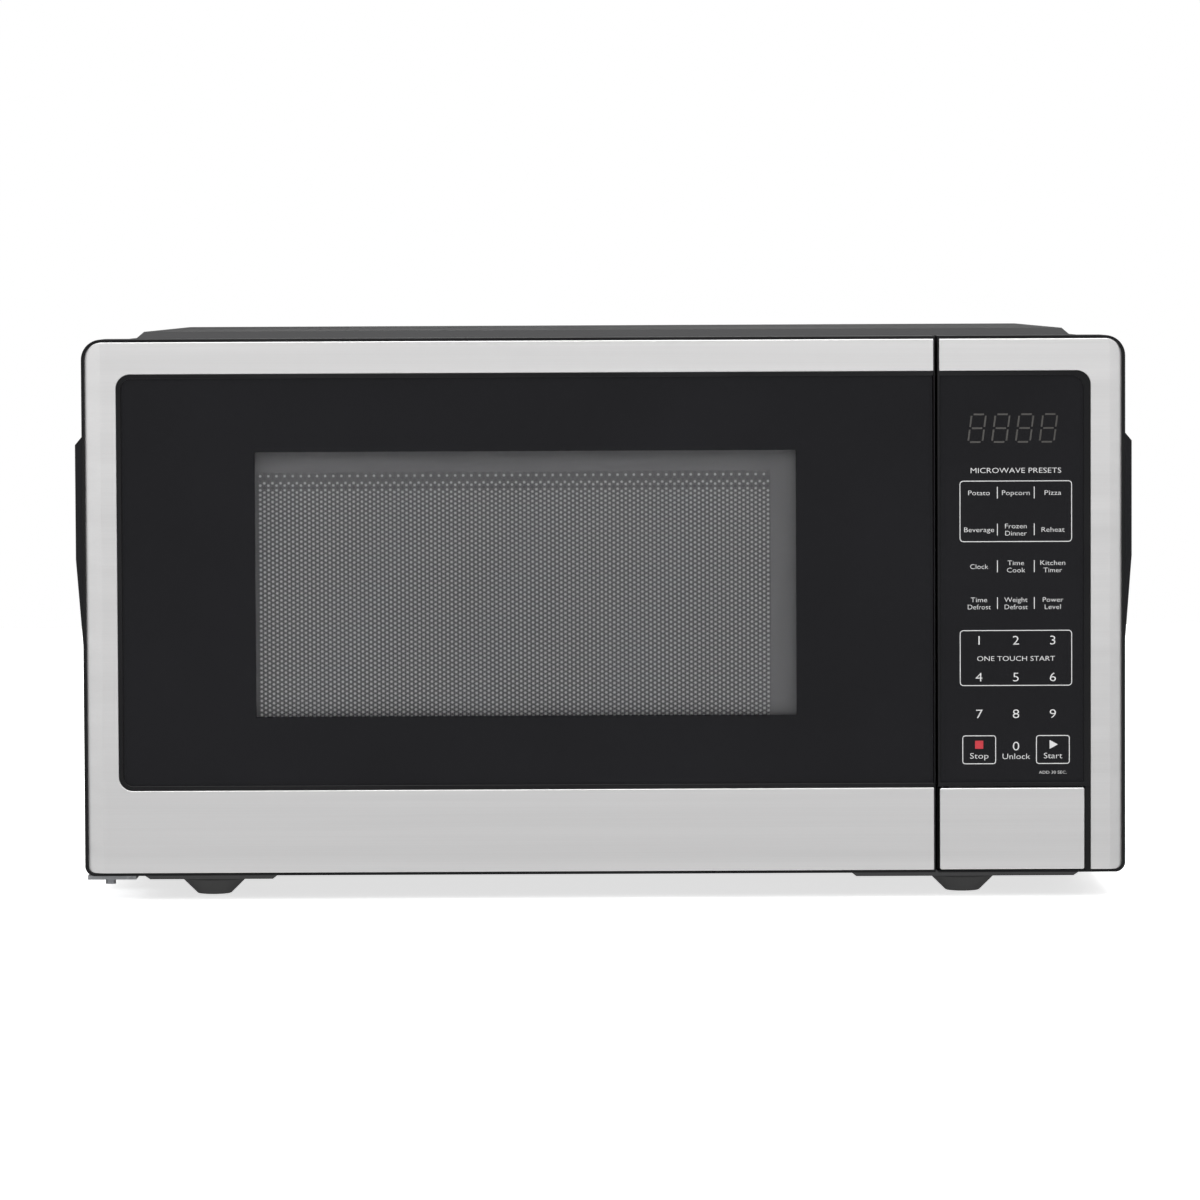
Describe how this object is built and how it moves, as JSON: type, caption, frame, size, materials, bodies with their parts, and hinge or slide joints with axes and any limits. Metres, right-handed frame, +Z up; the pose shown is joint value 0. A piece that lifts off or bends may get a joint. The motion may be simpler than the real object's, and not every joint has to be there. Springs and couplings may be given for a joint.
{
  "type": "microwave oven",
  "caption": "Countertop microwave oven with a side-hinged window door, keypad panel, push-button release, turntable and full inner machinery.",
  "frame": {"origin": "on the table, under the centre of the oven's bounding box", "axes": "+X to the right as seen from the front, +Y from the door to the rear, +Z up"},
  "size_m": [0.529, 0.437, 0.2808],
  "materials": {
    "steel": "horizontally brushed, satin",
    "black_plastic": "smooth black moulding",
    "black_glass": "black-backed glass with a clear window",
    "black_paint": "fine textured black powder coat",
    "cavity_enamel": "pale grey enamel",
    "screen_metal": "perforated, painted black",
    "clear_film": "clear plastic film",
    "feet": "matte black rubber",
    "zinc_steel": "zinc plated",
    "tray_glass": "clear pressed glass",
    "pale_plastic": "off-white moulding",
    "switch_plastic": "black moulding",
    "mica": "mica sheet",
    "aluminium_parts": "bare",
    "copper_tube": "enamelled copper",
    "core_steel": "varnished laminations",
    "board": "green laminate",
    "display": "dark display block",
    "lamp_glass": "clear"
  },
  "bodies": {
    "oven_body": {"outer_cover": "black_paint", "rear_panel": "black_paint", "base_plate": "black_paint", "foot_front_left": "feet", "foot_front_right": "feet", "foot_rear_left": "feet", "foot_rear_right": "feet", "cover_screws": "zinc_steel", "foot_screws": "zinc_steel", "cord_gland": "black_plastic", "cavity_front_frame": "cavity_enamel", "cavity_box": "cavity_enamel", "lower_hinge_bracket": "zinc_steel", "upper_hinge_bracket": "zinc_steel", "latch_bracket": "pale_plastic", "lever_rod": "zinc_steel", "interlock_switches": "switch_plastic", "panel_frame": "black_plastic", "panel_steel_trim": "steel", "panel_glass": "black_glass", "display_module": "display", "control_board": "board", "button_rod": "zinc_steel", "button_spring": "zinc_steel", "turntable_motor": "core_steel", "waveguide": "zinc_steel", "waveguide_cover": "mica", "magnetron_yoke": "zinc_steel", "magnetron_tube": "copper_tube", "magnetron_fins": "aluminium_parts", "thermal_cutout": "aluminium_parts", "transformer_core": "core_steel", "transformer_windings": "copper_tube", "hv_capacitor": "aluminium_parts", "capacitor_strap": "zinc_steel", "fan_shroud": "pale_plastic", "fan_motor": "core_steel", "filter_board": "board", "lamp_socket": "pale_plastic", "lamp_bulb": "lamp_glass"},
    "door": {"door_frame": "black_plastic", "door_steel_trim": "steel", "door_glass": "black_glass", "door_screen": "screen_metal", "window_film": "clear_film", "choke_cover": "black_plastic", "hook_spring": "zinc_steel"},
    "latch_hook": {"door_hook": "pale_plastic"},
    "open_button": {"door_button": "black_plastic", "button_skin": "steel"},
    "lever": {"release_lever": "pale_plastic"},
    "plungers": {"switch_plungers": "switch_plastic"},
    "coupler": {"drive_coupler": "pale_plastic"},
    "tray": {"turntable_tray": "tray_glass"},
    "ring": {"roller_ring": "pale_plastic"},
    "wheel_1": {"roller_1": "pale_plastic"},
    "wheel_2": {"roller_2": "pale_plastic"},
    "wheel_3": {"roller_3": "pale_plastic"},
    "fan": {"fan_blade": "pale_plastic"}
  },
  "joints": [
    {"name": "door_hinge", "type": "hinge", "parent": "oven_body", "child": "door", "pos_m": [-0.245, -0.203, 0.14], "axis": [0, 0, -1], "range_deg": [0, 110]},
    {"name": "hook_slide", "type": "slide", "parent": "door", "child": "latch_hook", "axis": [0, 0, 1], "range_m": [-0.0035, 0], "stiffness_N_per_m": 150, "springref_m": -0.008, "deforming": ["hook_spring"]},
    {"name": "button_press", "type": "hinge", "parent": "oven_body", "child": "open_button", "pos_m": [0.2, -0.2122, 0.0515], "axis": [1, 0, 0], "range_deg": [0, 7], "stiffness_Nm_per_rad": 0.6, "springref_deg": -8.59, "deforming": ["button_spring"]},
    {"name": "release_lever", "type": "hinge", "parent": "oven_body", "child": "lever", "pos_m": [0.175, -0.13, 0.04], "axis": [1, 0, 0], "range_deg": [-5.7, 0]},
    {"name": "switch_press", "type": "slide", "parent": "oven_body", "child": "plungers", "axis": [0, 0, 1], "range_m": [-0.0012, 0]},
    {"name": "tray_spin", "type": "hinge", "parent": "oven_body", "child": "coupler", "pos_m": [-0.045, 0.00465, 0.045], "axis": [0, 0, 1], "continuous": true},
    {"name": "tray_lift", "type": "slide", "parent": "coupler", "child": "tray", "axis": [0, 0, 1], "range_m": [0, 0.02]},
    {"name": "ring_orbit", "type": "hinge", "parent": "oven_body", "child": "ring", "pos_m": [-0.045, 0.00465, 0.0451], "axis": [0, 0, 1], "continuous": true},
    {"name": "wheel_1_roll", "type": "hinge", "parent": "ring", "child": "wheel_1", "pos_m": [0.065, 0.00465, 0.0451], "axis": [1, 0, 0], "continuous": true},
    {"name": "wheel_2_roll", "type": "hinge", "parent": "ring", "child": "wheel_2", "pos_m": [-0.1, 0.09991, 0.0451], "axis": [-0.5, 0.866, 0], "continuous": true},
    {"name": "wheel_3_roll", "type": "hinge", "parent": "ring", "child": "wheel_3", "pos_m": [-0.1, -0.09061, 0.0451], "axis": [-0.5, -0.866, 0], "continuous": true},
    {"name": "fan_spin", "type": "hinge", "parent": "oven_body", "child": "fan", "pos_m": [0.195, 0.197, 0.17], "axis": [0, 1, 0], "continuous": true}
  ],
  "couplings": [
    {"joint": "release_lever", "follows": "button_press", "ratio": -0.8},
    {"joint": "switch_press", "follows": "hook_slide", "ratio": 0.34},
    {"joint": "ring_orbit", "follows": "tray_spin", "ratio": 0.5},
    {"joint": "wheel_1_roll", "follows": "tray_spin", "ratio": -7.8571},
    {"joint": "wheel_2_roll", "follows": "tray_spin", "ratio": -7.8571},
    {"joint": "wheel_3_roll", "follows": "tray_spin", "ratio": -7.8571}
  ]
}
